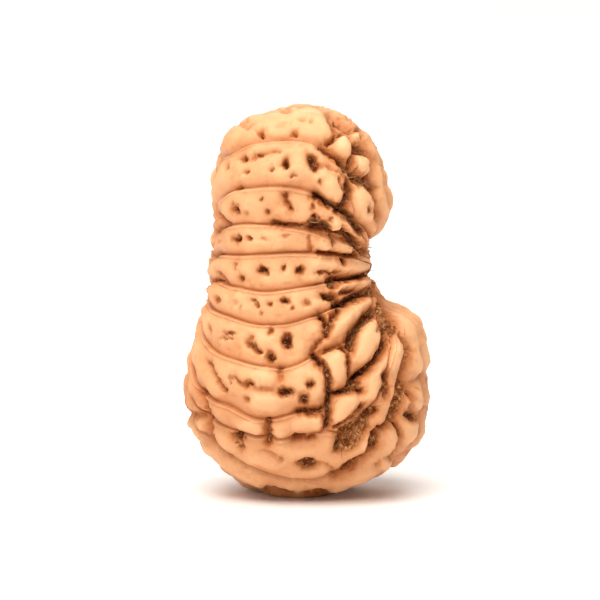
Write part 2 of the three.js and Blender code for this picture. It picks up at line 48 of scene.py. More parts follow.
LEFT = [
    (0, -3.3), (0.3, -4.4), (1, -5.9), (2.7, -7.9), (4.4, -9.1), (7, -10.2), (8.6, -10.55),
    (11, -10.25), (14, -9.45), (17, -8.7), (20, -8.4), (22.5, -8.1), (25.5, -8.1),
    (28.5, -7.65), (30.5, -7.1), (31.5, -6.5), (32.4, -5.2), (33.1, -3.4), (33.5, -2.3),
    (HEIGHT, -0.9),
]
RIGHT = [
    (0, 2), (0.3, 3.4), (1, 5.4), (2, 7.1), (3.4, 8.7), (4.6, 9.8), (6, 10.3), (8.2, 10.6),
    (11, 10.5), (12.8, 10.4), (14.2, 10), (15, 9.4), (15.8, 8.3), (17, 7), (18.3, 6.2),
    (20.2, 5.7), (21.8, 5.9), (23, 6.7), (24.1, 7.3), (25, 7.5), (27, 7), (29, 6.5),
    (30.6, 5.8), (31.5, 5), (32.4, 3.6), (33.1, 2.4), (33.5, 1.6), (HEIGHT, 0.5),
]
FRONT = [
    (0, -3), (0.3, -4), (1.2, -5.8), (3, -7.6), (5.5, -8.8), (9, -9.3), (12, -8.9),
    (15, -8), (18, -7.2), (21, -6.9), (24, -7.2), (27, -7.3), (29.5, -6.7), (31.3, -5.6),
    (32.4, -4.1), (33.2, -2.4), (HEIGHT, -0.5),
]
BACK = [
    (0, 3), (0.3, 4), (1.2, 5.9), (3, 7.7), (5.5, 8.9), (9, 9.4), (12, 9.1), (15, 8.3),
    (18, 7.6), (21, 7.4), (24, 7.7), (27, 7.8), (29.5, 7.2), (31.3, 5.9), (32.4, 4.4),
    (33.2, 2.7), (HEIGHT, 0.6),
]


def curve(points):
    """Smooth curve through (position, value) points, which never overshoots them"""
    x, y = np.array(points, float).T
    rise = np.diff(y) / np.diff(x)
    before, after = rise[:-1], rise[1:]
    same = before * after > 0
    slope = np.empty(len(x))
    slope[0], slope[-1] = rise[0], rise[-1]
    slope[1:-1] = np.where(same, 2 * before * after / np.where(same, before + after, 1), 0)

    def value(at):
        at = np.clip(at, x[0], x[-1])
        i = np.clip(np.searchsorted(x, at, side="right") - 1, 0, len(x) - 2)
        span = x[i + 1] - x[i]
        s = (at - x[i]) / span
        start = y[i] + slope[i] * span * s
        end = y[i + 1] - slope[i + 1] * span * (1 - s)
        blend = s * s * (3 - 2 * s)
        return start * (1 - blend) + end * blend

    return value


left, right, front, back = (curve(outline) for outline in (LEFT, RIGHT, FRONT, BACK))


def body_level(p):
    """Level of points against the smooth body, whose sections are rounded ovals: 1 on its skin"""
    x, y, z = np.moveaxis(p, -1, 0)
    l, r, f, b = left(z), right(z), front(z), back(z)
    level = (np.abs((2 * x - l - r) / (r - l)) ** SQUARENESS
             + np.abs((2 * y - f - b) / (b - f)) ** SQUARENESS)
    return np.where((z < 0) | (z > HEIGHT), 1e6, level)


HALVINGS = 30


def surface_along(directions):
    """Where rays from the centre leave the smooth body"""
    near = np.zeros(directions.shape[:-1])
    far = np.full(near.shape, HEIGHT)
    for _ in range(HALVINGS):
        middle = (near + far) / 2
        inside = body_level(CENTRE + directions * middle[..., None]) < 1
        near = np.where(inside, middle, near)
        far = np.where(inside, far, middle)
    return CENTRE + directions * near[..., None]


# The front relief was read off a photograph of 600 x 600 pixels, so its places are in its pixels
PIXEL = 0.086
PICTURE_MIDDLE = 305.5
PICTURE_BASE = 497
PICTURE_TILT = math.radians(8)
BASE_DIP = 0.42
SIGHT = np.array([0, math.cos(PICTURE_TILT), -math.sin(PICTURE_TILT)])
PICTURE_UP = np.array([0, math.sin(PICTURE_TILT), math.cos(PICTURE_TILT)])
MOUTH_AXIS = np.array([5.9, -1.9, 1.1])
MOUTH_AXIS /= np.linalg.norm(MOUTH_AXIS)
UPWARD = np.array([0, 0, 1]) - MOUTH_AXIS * MOUTH_AXIS[2]
UPWARD /= np.linalg.norm(UPWARD)
FORWARD = np.cross(MOUTH_AXIS, UPWARD)

# Seams of the front, each as points from the left edge or the crown to the mouth
SEAMS = 19
SEAM_ROUTES = [
    [(333, 112), (350, 129), (363, 144), (371, 168), (373, 188), (378, 207), (379, 222)],
    [(219, 160), (237, 151), (265, 142.7), (300, 142), (329, 155), (347, 170), (350, 197), (355, 225)],
    [(216, 206), (231, 193), (262, 190), (302, 193), (329, 207), (350, 221), (362, 236)],
    [(217, 231), (242, 226), (277, 228), (311, 234), (333, 241), (351, 246), (366, 257)],
    [(213, 255), (255, 256), (293, 254.5), (332, 256.5), (352, 258), (370, 263)],
    [(213, 280), (237, 288), (286, 290), (325, 283), (353, 278), (371, 273)],
    [(205, 305), (224, 315), (264, 324.5), (305, 318), (340, 304), (368, 291)],
    [(199, 331), (224, 355), (263, 365), (299, 362.5), (319, 350), (347, 339), (360, 324), (374, 306)],
    [(193, 381), (224, 404), (263, 419), (295, 412), (324, 406), (342, 390), (362, 371),
     (380, 350), (385, 328), (380, 308)],
    [(203, 415), (237, 431), (277, 438.6), (322, 432), (352, 430), (371, 409), (385, 380),
     (391, 350), (394, 330), (387, 311)],
    [(214, 445), (254, 470), (290, 481), (332, 478), (360, 463), (376, 437), (394, 413),
     (402, 385), (408, 360), (403, 334), (393, 314)],
]

# Pits of the front, as (across, down, width, height) in pixels and depth in millimetres
PITS = [
    (259, 157, 12, 5, 0.5), (272, 154, 8, 4, 0.35), (260, 134, 7, 9, 0.6), (295, 133, 7, 7, 0.6),
    (283, 111, 5, 6, 0.4), (288, 109.5, 5, 4, 0.4), (299, 107.5, 6, 3, 0.3), (246, 121, 5, 5, 0.3),
    (302, 121, 10, 5, 0.25), (311, 123, 6, 4, 0.25), (293, 124.5, 6, 3, 0.2),
    (242.5, 161, 9, 8, 0.6), (286, 165, 6, 9, 0.75),
    (281.5, 167, 4, 3, 0.3), (272, 171.5, 7, 4, 0.5), (246.5, 174, 7, 4, 0.5),
    (293, 178, 8, 4, 0.4), (227, 169, 4, 8, 0.4), (236, 190, 7, 4, 0.4), (321, 184, 4, 8, 0.4),
    (235, 211, 9, 8, 0.7), (232, 205, 5, 6, 0.4), (260, 201, 5, 6, 0.5), (267.5, 214, 6, 7, 0.6),
    (245, 215, 8, 6, 0.2), (226, 224, 4, 3, 0.4), (313, 209, 6, 7, 0.5), (314.5, 219.5, 6, 5, 0.7),
    (320, 219, 4, 3, 0.5), (331, 222, 6, 6, 0.4), (368, 210, 5, 7, 0.6), (236, 240, 10, 8, 0.7),
    (249, 240, 8, 4, 0.5), (265, 240, 9, 4, 0.25), (286, 238, 9, 3, 0.2), (218, 242, 5, 4, 0.25),
    (234, 268, 4, 7, 0.4), (240, 279, 7, 7, 0.6), (263, 271, 10, 8, 0.75), (268, 275, 5, 4, 0.5),
    (284, 269, 5, 7, 0.5), (300, 271, 9, 10, 0.7), (333, 282, 11, 12, 0.8), (344.5, 262, 6, 5, 0.9),
    (356.5, 255, 8, 6, 0.8), (216, 299, 7, 7, 0.5), (253, 301, 6, 4, 0.4), (257, 305, 4, 5, 0.5),
    (270, 304, 6, 5, 0.5), (285, 301, 9, 7, 0.7), (293, 308, 5, 5, 0.4), (260, 313, 5, 5, 0.3),
    (307, 303, 12, 9, 0.35), (236, 302, 6, 5, 0.2), (241, 307, 5, 6, 0.2), (209, 328, 4, 9, 0.4),
    (229, 332, 13, 4, 0.5), (227, 338, 14, 4, 0.5), (252, 337, 6, 5, 0.4), (271, 331, 6, 8, 0.5),
    (287, 340, 10, 16, 0.95), (262, 350, 3, 4, 0.3), (270, 355, 8, 11, 0.8), (231, 376, 5, 4, 0.6),
    (230, 382, 3, 3, 0.4), (248, 382, 11, 5, 0.75), (247, 398, 6, 6, 0.5), (286, 390.5, 17, 8, 1.0),
    (304, 397, 10, 12, 0.9), (310.5, 383, 8, 8, 0.8), (224, 389, 5, 4, 0.6), (198, 391, 7, 12, 0.4),
    (238.5, 436, 13, 8, 1.0), (241, 446, 8, 14, 0.4), (268, 427, 5, 6, 0.6), (267, 439, 5, 5, 0.6),
    (281, 458.5, 5, 3, 0.5), (307, 463.5, 19, 10, 1.1), (353, 352, 4, 8, 0.4),
    (355, 381, 10, 18, 1.1), (385, 376, 8, 12, 1.0), (386, 388, 8, 18, 0.8), (361, 405.5, 7, 7, 0.8),
    (412, 416, 13, 10, 1.0), (417, 387, 5, 5, 0.4), (417, 333, 4, 5, 0.3), (228, 456, 9, 4, 0.25),
]

# Crevices of the front: width in pixels, depth in millimetres, share of flesh left in them, points
CREVICES = [
    (4, 0.7, 0.4, (331, 119), (334, 127), (338, 134), (334, 138), (328, 143)),
    (7, 0.8, 0.8, (339, 122), (345, 127), (352, 130)),
    (4, 0.6, 0.6, (338, 134), (345, 135.5), (349, 140), (352, 148), (353, 156)),
    (5, 0.9, 0.5, (322, 147), (331, 155), (342, 163.5), (350, 171), (358, 181)),
    (4, 0.7, 0.3, (352.5, 156), (352, 164), (352, 171)),
    (5, 0.8, 0.6, (359, 130), (363, 140), (366, 150), (371, 160), (373, 170), (369, 181)),
    (9, 0.9, 0.9, (356, 149), (362, 153)),
    (10, 1.1, 0.9, (358, 182), (367, 184), (372, 191)),
    (4, 0.8, 0.5, (372, 191), (377, 206), (379, 221)),
    (8, 0.75, 0.4, (311, 160), (315, 169)),
    (4, 0.3, 0, (316, 167), (330, 168), (346, 178)),
    (4, 0.5, 0.2, (339, 181), (341, 190), (347, 193)),
    (7, 0.9, 0.5, (316, 199), (329, 206), (338, 210), (346, 208), (348, 196), (348, 184)),
    (7, 1.0, 0.9, (337, 211), (347, 216), (354, 224), (361, 234)),
    (5, 0.3, 0.2, (250, 161), (258, 158), (266, 155), (279, 153)),
    (6, 0.5, 0.3, (284, 198), (287, 205), (291, 211)),
    (4, 0.5, 0.4, (216, 213), (219, 219), (222, 225)),
    (5, 0.5, 0.5, (272, 226), (297, 227), (312, 228)),
    (12, 1.2, 0.7, (314, 228), (324, 230)),
    (5, 1.0, 0.5, (324, 232), (333, 236), (344, 236)),
    (6, 1.0, 0.6, (342, 232), (346, 239), (357, 245.5), (365, 252)),
    (3, 0.5, 0, (333, 240), (334, 247)),
    (6, 0.3, 0, (309, 240), (311, 252)),
    (4, 0.55, 0.4, (320, 254), (335, 257.5), (350, 257.5), (358, 254)),
    (4, 0.7, 0.4, (339, 279), (351, 279), (363, 276.5), (371, 273)),
    (3, 0.5, 0.3, (318, 272), (330, 273), (340, 273)),
    (5, 0.5, 0.6, (343, 291), (357, 289)),
    (6, 0.9, 0.6, (325, 295), (336, 297)),
    (6, 1.0, 0.7, (338, 304), (348, 300.5), (357, 295.5), (371, 291)),
    (4, 0.4, 0.2, (216, 272), (219, 277), (221, 282)),
    (6, 0.7, 0.3, (338, 303), (340, 309), (332, 318), (328, 328), (325, 335)),
    (5, 0.5, 0.3, (325, 335), (315, 342), (312, 351), (315, 358)),
    (5, 0.8, 0, (320.5, 316), (326, 320), (327, 326)),
    (5, 0.45, 1, (373, 240), (375, 262), (376, 288)),
    (8, 1.1, 1, (377, 291), (382, 300), (387, 312), (388, 322)),
    (6, 1.1, 0.3, (388, 320), (386, 330), (386, 342), (383, 351), (371, 364), (363, 371), (356, 376)),
    (6, 0.9, 0.9, (388, 313), (394, 321), (395, 329)),
    (8, 1.0, 0.8, (375, 309), (366, 316), (358, 325), (351, 334), (350, 345)),
    (3.5, 0.8, 0.1, (341, 346), (347, 351), (349, 360), (349, 386)),
    (4, 0.5, 0.2, (350, 345), (341, 346), (330, 347), (317, 353)),
    (7, 0.9, 0.4, (314, 354), (321, 364), (328, 371), (328, 382), (328, 393)),
    (5, 0.9, 0.4, (328, 393), (340, 391), (350, 389), (361, 389)),
    (3, 0.4, 0.2, (379, 312), (381, 320), (377, 331)),
    (6, 0.9, 0.5, (328, 393), (328, 404), (329, 414), (326, 426)),
    (3, 0.6, 0.2, (320, 410), (325, 422)),
    (6, 0.6, 0, (360, 407), (352, 414), (343, 422), (334, 427)),
    (9, 0.7, 0.9, (375, 409), (364, 415), (357, 421)),
    (17, 1.15, 1, (360, 424), (353, 434), (347, 441)),
    (8, 1.0, 1, (344, 430), (340, 437), (338, 447)),
    (8, 1.0, 0.9, (375, 432), (374, 446)),
    (9, 0.9, 0.9, (403, 381), (402, 394), (397, 408), (393, 417)),
    (4, 0.7, 0.3, (393, 417), (390, 426), (383, 429), (377, 426)),
    (4, 0.7, 0.3, (409, 384), (412, 397), (410, 408)),
    (4, 0.3, 0, (424, 373), (416, 380), (406, 384)),
    (4, 0.3, 0, (427, 405), (420, 411), (413, 410)),
    (5, 0.7, 0.1, (400, 334), (406, 342), (411, 352), (407, 364), (404, 375), (404, 382)),
    (4, 0.7, 0.1, (393, 417), (399, 427), (401, 436), (397, 448), (391, 458)),
    (6, 0.9, 0.1, (370, 448), (366, 456), (356, 465), (347, 473), (334, 478)),
    (3, 0.4, 0, (392, 458), (383, 457), (377, 466)),
    (8, 0.55, 0.3, (268, 421), (267, 432), (268, 443)),
    (5, 0.6, 0.2, (294, 438), (302, 437), (314, 437)),
    (10, 0.5, 0.1, (299, 410), (312, 411), (322, 409)),
    (7, 0.35, 0, (280, 369), (281, 380)),
    (8, 0.2, 0, (245, 386), (258, 387), (272, 388)),
    (4, 0.5, 0.3, (206, 361), (213, 371), (219, 381), (224, 389)),
    (5, 0.6, 0.3, (199, 392), (205, 408), (208, 421), (210, 442)),
    (4, 0.5, 0.3, (234, 376), (240, 383), (246, 385)),
    (6, 0.7, 0.4, (250, 343), (254, 346), (258, 350)),
    (4, 0.3, 0, (262, 450), (275, 454), (281, 458)),
    (4, 0.3, 0, (318, 461), (328, 464), (333, 470)),
    (7, 0.5, 0.1, (266, 490), (280, 493), (290, 494)),
    (7, 0.5, 0.1, (306, 494), (325, 494)),
    (6, 0.35, 0, (204, 232), (216, 231)),
    (6, 0.3, 0, (200, 254), (214, 255)),
    (6, 0.3, 0, (200, 280), (214, 281)),
    (8, 0.35, 0, (188, 414), (201, 416)),
    (6, 0.25, 0, (236, 123), (247, 128)),
]

# Lobes of the front, as the pits, with their rise in millimetres
LOBES = [
    (343.5, 149.5, 17, 24, 0.55), (356, 138.5, 13, 16, 0.45), (362, 168, 18, 20, 0.55),
    (334, 193, 24, 26, 0.4), (362, 205, 26, 40, 0.35), (334, 227.5, 14, 13, 0.6),
    (325, 247, 16, 14, 0.2), (345, 249, 16, 14, 0.2), (318, 279, 18, 10, 0.2),
    (322, 303, 30, 10, 0.2), (335, 369, 28, 42, 0.3), (369, 334, 26, 36, 0.3),
    (366, 356, 26, 26, 0.25), (345, 406, 30, 34, 0.35), (265, 376, 24, 18, 0.25),
    (306, 385, 42, 40, 0.15), (274, 404, 46, 22, 0.25), (249, 429, 24, 20, 0.25),
    (282, 431, 22, 20, 0.25), (308, 424, 32, 22, 0.3), (408, 324, 30, 30, 0.25),
    (419, 355, 18, 32, 0.25), (419, 397, 16, 26, 0.3), (411, 430, 28, 30, 0.3),
    (393, 438, 16, 28, 0.25), (407, 403, 6, 16, 0.3), (386, 463, 18, 14, 0.25),
    (195, 428, 16, 18, 0.4), (206, 450, 14, 12, 0.2), (424, 400, 12, 22, 0.25),
]

# Raised ridges of the front: width in pixels, rise in millimetres, points
RIDGES = [
    (9, 0.3, (330, 212), (345, 225), (358, 236), (366, 243)),
    (12, 0.2, (318, 265), (339, 268), (353, 271), (367, 268)),
    (6, 0.35, (337, 290), (348, 285), (358, 282), (369, 283)),
    (3, 0.3, (341, 297), (350, 294), (358, 290)),
    (15, 0.4, (374, 300), (350, 317), (334, 330), (324, 339)),
    (18, 0.3, (396, 346), (390, 362), (372, 392)),
    (8, 0.3, (375, 426), (366, 438), (363, 450)),
    (2.5, 0.4, (380, 303), (384, 312), (384, 326)),
]


def ease(start, end, value):
    """Smooth step from 0 at one limit to 1 at the other"""
    s = np.clip((value - start) / (end - start), 0, 1)
    return s * s * (3 - 2 * s)


def direction_at(from_mouth, turn):
    """Direction from the centre at an angle from the mouth and a turn about the axis"""
    from_mouth, turn = from_mouth[..., None], turn[..., None]
    sideways = np.cos(turn) * FORWARD + np.sin(turn) * UPWARD
    return np.sin(from_mouth) * sideways + np.cos(from_mouth) * MOUTH_AXIS


def picture_of(p):
    """Where points of the stone are seen in the picture"""
    across = PICTURE_MIDDLE + p[..., 0] / PIXEL
    down = PICTURE_BASE - (p @ PICTURE_UP + BASE_DIP) / PIXEL
    return np.stack([across, down], -1)


SIGHT_STEP = 0.05


def seam_turn(route):
    """Turn about the axis of a seam, as a curve over the angle from the mouth"""
    across, down = np.array(route, float).T
    start = ((PICTURE_BASE - down) * PIXEL - BASE_DIP)[:, None] * PICTURE_UP
    start[:, 0] += (across - PICTURE_MIDDLE) * PIXEL
    travel = np.arange(-HEIGHT, HEIGHT, SIGHT_STEP)
    levels = body_level(start[:, None] + travel[:, None] * SIGHT)
    first = np.where((levels < 1).any(1), (levels < 1).argmax(1), levels.argmin(1))
    seen = start + travel[first][:, None] * SIGHT - CENTRE
    seen /= np.linalg.norm(seen, axis=1)[:, None]
    from_mouth = np.arccos(seen @ MOUTH_AXIS)
    turn = np.arctan2(seen @ UPWARD, seen @ FORWARD)
    order = from_mouth.argsort()
    return curve(np.column_stack([from_mouth, turn])[order])


# Turns of all seams: those of the front, then even shares of the girth under and behind
SEAM_JITTER = 0.17
SEAM_WAVE = 0.06
SEAM_BENDS = 3
GIRTH_SAMPLES = 400
front_seams = [seam_turn(route) for route in SEAM_ROUTES]
hidden_count = SEAMS - len(front_seams)
GIRTH = np.array(math.pi / 2)
turn_from = front_seams[-1](GIRTH)
turn_to = front_seams[0](GIRTH) - 2 * math.pi
girth_turns = np.linspace(turn_from, turn_to, GIRTH_SAMPLES + 1)
girth_points = surface_along(direction_at(np.full(GIRTH_SAMPLES + 1, GIRTH), girth_turns))
girth_lengths = np.cumsum(np.linalg.norm(np.diff(girth_points, axis=0), axis=1))
draw = np.random.default_rng(19)
seam_shifts = SEAM_JITTER * draw.uniform(-1, 1, hidden_count)
hidden_goals = (np.arange(1, hidden_count + 1) + seam_shifts) / (hidden_count + 1)
girth_shares = np.linspace(0, 1, GIRTH_SAMPLES)
hidden_shares = np.interp(hidden_goals * girth_lengths[-1], girth_lengths, girth_shares)
hidden_phases = draw.uniform(0, 2 * math.pi, hidden_count)


def seam_turns(from_mouth):
    """Turns of the 19 seams and of the first again, for each angle from the mouth"""
    turns = [seam(from_mouth) for seam in front_seams]
    first, last = turns[0] - 2 * math.pi, turns[-1]
    for share, phase in zip(hidden_shares, hidden_phases):
        wave = SEAM_WAVE * np.sin(from_mouth) * np.sin(SEAM_BENDS * from_mouth + phase)
        turns.append(last * (1 - share) + first * share + wave)
    return np.stack(turns + [first], -1)


# The stone starts as a sphere whose segments follow the seams, finer where the front shows
FRONT_COLUMNS = 28
HIDDEN_COLUMNS = 18
ROWS = 226
ROW_CROWDING = 0.35
ROW_SHIFT = 0.5
SEAM_CROWDING = 0.45
band_columns = [FRONT_COLUMNS] * (len(front_seams) - 1) + [HIDDEN_COLUMNS] * (hidden_count + 1)
columns = sum(band_columns)
bpy.ops.object.select_all(action="DESELECT")
bpy.ops.mesh.primitive_uv_sphere_add(segments=columns, ring_count=ROWS + 1, radius=1)
stone = bpy.context.active_object
stone.name = "carved_stone"
coords = np.empty(len(stone.data.vertices) * 3, np.float32)
stone.data.vertices.foreach_get("co", coords)
ball = coords.reshape(-1, 3).astype(float)
is_pole = np.hypot(ball[:, 0], ball[:, 1]) < 1e-6
rows = np.rint(np.arccos(np.clip(ball[:, 2], -1, 1)) / math.pi * (ROWS + 1)).astype(int) - 1
around = np.arctan2(ball[:, 1], ball[:, 0]) / (2 * math.pi)
cols = np.rint(around * columns).astype(int) % columns

v = np.arange(1, ROWS + 1) / (ROWS + 1)
crowding = np.sin(2 * math.pi * v + ROW_SHIFT) - math.sin(ROW_SHIFT)
from_mouth = math.pi * v + ROW_CROWDING * crowding / 2
turns = seam_turns(from_mouth)
bands = np.repeat(np.arange(SEAMS), band_columns)
shares = np.concatenate([np.arange(n) / n for n in band_columns])
shares = shares - SEAM_CROWDING * np.sin(2 * math.pi * shares) / (2 * math.pi)
grid_turns = turns[:, bands] * (1 - shares) + turns[:, bands + 1] * shares
grid_angles = np.repeat(from_mouth[:, None], columns, 1)
body = surface_along(direction_at(grid_angles, grid_turns))
seam_points = surface_along(direction_at(np.repeat(from_mouth[:, None], SEAMS + 1, 1), turns))
band_widths = np.linalg.norm(np.diff(seam_points, axis=1), axis=2)[:, bands]
mouth_place = surface_along(MOUTH_AXIS)
far_place = surface_along(-MOUTH_AXIS)


def grid_normals(grid, start, end):
    """Outward normals of a grid of points between two poles"""
    closed = np.concatenate([np.broadcast_to(start, grid[:1].shape), grid,
                             np.broadcast_to(end, grid[:1].shape)])
    down = closed[2:] - closed[:-2]
    along = np.roll(grid, -1, 1) - np.roll(grid, 1, 1)
    normals = np.cross(down, along)
    return normals / np.linalg.norm(normals, axis=-1)[..., None]


body_normals = grid_normals(body, mouth_place, far_place)


def noise_at(points, size, seed):
    """Smooth noise between -1 and 1 at points, with lumps of about a size in millimetres"""
    shift = Vector((seed * 17.3, seed * 5.1, seed * 9.7))
    flat = points.reshape(-1, 3) / size
    values = [noise.noise(Vector(p) + shift) for p in flat]
    return np.array(values).reshape(points.shape[:-1])


def oval_away(place, across, down, width, height):
    """How far places of the picture are from an oval's middle: 1 on its edge"""
    return np.hypot((place[..., 0] - across) * 2 / width, (place[..., 1] - down) * 2 / height)


def rounded(points):
    """A stroke with its corners cut twice"""
    points = np.array(points, float)
    for _ in range(2):
        cuts = [points[:-1] * 0.75 + points[1:] * 0.25, points[:-1] * 0.25 + points[1:] * 0.75]
        inner = np.stack(cuts, 1).reshape(-1, 2)
        points = np.concatenate([points[:1], inner[1:-1], points[-1:]])
    return points


def stroke_away(place, points):
    """Pixels from places of the picture to the nearest point of a stroke"""
    away = np.full(place.shape[:-1], 1e6)
    points = rounded(points)
    for a, b in zip(points[:-1], points[1:]):
        s = np.clip((place - a) @ (b - a) / ((b - a) @ (b - a)), 0, 1)
        away = np.minimum(away, np.linalg.norm(place - a - s[..., None] * (b - a), axis=-1))
    return away


def pillow(away, reach):
    """Rounded fall beside a crevice: 1 at it, steep there, and level where its reach ends"""
    return np.clip(1 - away / reach, 0, 1) ** 2


def shallow_offset(depth):
    """How far in millimetres the painted shade of a shallow hollow draws back from its edge"""
    return EDGE_DRAW * np.clip(SHALLOW_DEPTH - depth, 0, 1)


def hollows(place):
    """The front's hollows: depths, slopes round them, flesh in them, millimetres to their edges"""
    depths, slopes, fleshy = np.zeros((3, *place.shape[:-1]))
    edges = np.full(place.shape[:-1], FAR_FROM_EDGES)
    for across, down, width, height, depth in PITS:
        away = oval_away(place, across, down, width, height) / PIT_GROWTH
        depths = np.maximum(depths, depth * (1 - ease(*PIT_SIDE, away)))
        slopes = np.maximum(slopes, PIT_SLOPE * depth * pillow(away, PIT_REACH))
        radius = math.sqrt(width * height) / 2 * PIXEL
        edges = np.minimum(edges, (away - 1) * radius + shallow_offset(depth))
    for narrow, depth, share, *points in CREVICES:
        width = narrow * CREVICE_WIDENING
        away = stroke_away(place, points)
        depths = np.maximum(depths, depth * (1 - ease(*CREVICE_SIDE, away * 2 / width)))
        slope = CREVICE_SLOPE * depth * pillow(away, width / 2 + SLOPE_PIXELS)
        slopes = (slopes ** SLOPE_BLEND + slope ** SLOPE_BLEND) ** (1 / SLOPE_BLEND)
        fleshy = np.maximum(fleshy, share * (1 - ease(*FLESH_SIDE, away * 2 / width)))
        edges = np.minimum(edges, (away - width / 2) * PIXEL + shallow_offset(depth))
    return depths, slopes, fleshy, edges


def swellings(place):
    """Rise of the front's lobes and ridges, and how far the lobes hold off the slopes beside them"""
    rises, domes = np.zeros((2, *place.shape[:-1]))
    for *oval, rise in LOBES:
        dome = np.clip(1 - (oval_away(place, *oval) / LOBE_REACH) ** 2, 0, 1) ** LOBE_ROUNDING
        rises = np.maximum(rises, rise * dome)
        domes = np.maximum(domes, dome)
    for width, rise, *points in RIDGES:
        away = stroke_away(place, points) * 2 / width
        rises = np.maximum(rises, rise * (1 - ease(*RIDGE_SIDE, away)))
    return rises, domes


# Pits and lumps of the sides and back, in rows along the bands
HIDDEN_PIT_SPACING = 2.6
PIT_ROW_WIDTH = 2.1
PIT_ROW_START = 0.3
PIT_ROW_STAGGER = 0.1
PIT_ROW_END = 0.25
PIT_STRIDE = (0.8, 1.25)
PIT_JITTER_ACROSS = 0.38
PIT_JITTER_ALONG = 0.35
HIDDEN_PIT_RADIUS = (0.2, 0.65)
HIDDEN_PIT_DEPTH = (0.25, 0.95)
rows_draw = np.random.default_rng(108)
hidden_pits = []
hidden_lumps = []
for band in range(SEAMS):
    angle = PIT_ROW_START + PIT_ROW_STAGGER * rows_draw.uniform()
    while angle < math.pi - PIT_ROW_END:
        ends = seam_turns(np.array([angle]))[0, band:band + 2]
        edge = surface_along(direction_at(np.full(2, angle), ends))
        count = max(1, round(float(np.linalg.norm(edge[1] - edge[0])) / PIT_ROW_WIDTH))
        reach = np.linalg.norm(edge.mean(0) - CENTRE)
        stride = HIDDEN_PIT_SPACING * rows_draw.uniform(*PIT_STRIDE) / reach
        for i in range(count):
            for places, offset in ((hidden_pits, 0.0), (hidden_lumps, 0.5)):
                share = (i + 0.5 + PIT_JITTER_ACROSS * rows_draw.uniform(-1, 1)) / count
                at = angle + stride * (offset + PIT_JITTER_ALONG * rows_draw.uniform(-1, 1))
                turn = ends[0] * (1 - share) + ends[1] * share
                point = surface_along(direction_at(np.array(at), np.array(turn)))
                radius = rows_draw.uniform(*HIDDEN_PIT_RADIUS)
                places.append((point, radius, rows_draw.uniform(*HIDDEN_PIT_DEPTH)))
        angle += stride


def nearest_two(points, places):
    """Distances to the nearest two of some places, and which is nearest"""
    tree = kdtree.KDTree(len(places))
    for i, (point, _, _) in enumerate(places):
        tree.insert(Vector(point), i)
    tree.balance()
    found = [tree.find_n(Vector(p), 2) for p in points.reshape(-1, 3)]
    shape = points.shape[:-1]
    first = np.array([f[0][2] for f in found]).reshape(shape)
    second = np.array([f[1][2] for f in found]).reshape(shape)
    which = np.array([f[0][1] for f in found]).reshape(shape)
    return first, second, which


# Relief over the body: seams, swollen bands, pits, crevices, lobes and ridges
SEAM_DEPTH = 0.34
UPPER_SHOULDER = 0.16
LOWER_SHOULDER = (0.2, 1.6)
THREAD_RISE = 0.3
THREAD_PLACE = 0.13
THREAD_HALF_WIDTH = 0.1
STEEP_SHARE = 0.65
PIT_SLOPE = 0.6
PIT_REACH = 2.8
PIT_GROWTH = 1.1
CREVICE_WIDENING = 1.12
CREVICE_SLOPE = 0.85
SLOPE_PIXELS = 9
LOBE_REACH = 1.15
LOBE_HOLD = 0.5
SIDE_CROWN = 0.72
FRONT_CROWN = 0.3
CROWN_POWER = 2.2
PIT_SIDE = (0.4, 1.15)
CREVICE_SIDE = (0.2, 1.2)
FLESH_SIDE = (0.6, 1.3)
RIDGE_SIDE = (0.1, 1.3)
LOBE_ROUNDING = 0.75
SLOPE_BLEND = 4
SHALLOW_DEPTH = 0.8
EDGE_DRAW = 0.6
FAR_FROM_EDGES = 9.0

# Places waver by a few pixels, and the front's relief gives way to the rows of the sides
WARP_SIZE, WARP_PIXELS = 0.9, 1.5
FRAY_SIZE, FRAY_PIXELS = 0.35, 2
FRONT_FADE = (-0.2, 0)
SIDE_FADE = (-0.25, 0.05)
FLAT_FADE = (0.75, 0.95)
FLAT_SHARE = 0.3
FINE_LUMP_SIZE, FINE_LUMP_RISE = 1.1, 0.1
BROAD_LUMP_SIZE, BROAD_LUMP_RISE = 2.6, 0.16
warp = np.stack([noise_at(body, WARP_SIZE, 1), noise_at(body, WARP_SIZE, 2)], -1)
fray = np.stack([noise_at(body, FRAY_SIZE, 6), noise_at(body, FRAY_SIZE, 7)], -1)
place = picture_of(body) + WARP_PIXELS * warp + FRAY_PIXELS * fray
sight_slope = -(body_normals @ SIGHT)
facing = ease(*FRONT_FADE, sight_slope)
seen_flat = FLAT_SHARE * ease(*FLAT_FADE, np.abs(body_normals[..., 2]))
hidden = np.maximum(ease(*SIDE_FADE, -sight_slope), seen_flat)
fine_lumps = noise_at(body, FINE_LUMP_SIZE, 3)
broad_lumps = noise_at(body, BROAD_LUMP_SIZE, 4)

# Each band drops steeply to the seam above it and in a long scalloped skirt to the one below
SCALLOP_SIZE = 1.7
SCALLOP_RANGE = (0.3, 1.9)
SCALLOP_SWING = 1.1
SKIRT_SHARES = (0.35, 0.4, 0.25)
SKIRT_STEP = (0.35, 0.75)
OPEN_WIDTH = 1.4
WIDE_BAND = (4.2, 6.5)
SIDE_SLOPE = 0.6
from_upper = shares * band_widths
from_lower = (1 - shares) * band_widths
seam_away = np.minimum(from_upper, from_lower)
scallop = np.clip(1 + SCALLOP_SWING * noise_at(body, SCALLOP_SIZE, 5), *SCALLOP_RANGE)
upper_fall = np.exp(-from_upper / UPPER_SHOULDER)
steep, gentle = LOWER_SHOULDER
skirt = from_lower / (gentle * scallop)
steep_part, round_part, step_part = SKIRT_SHARES
lower_fall = (steep_part * np.exp(-from_lower / steep) + round_part * pillow(skirt, 1)
              + step_part * (1 - ease(*SKIRT_STEP, skirt)))
open_band = ease(0, OPEN_WIDTH, band_widths)
crown = np.abs(2 * shares - 1) ** CROWN_POWER
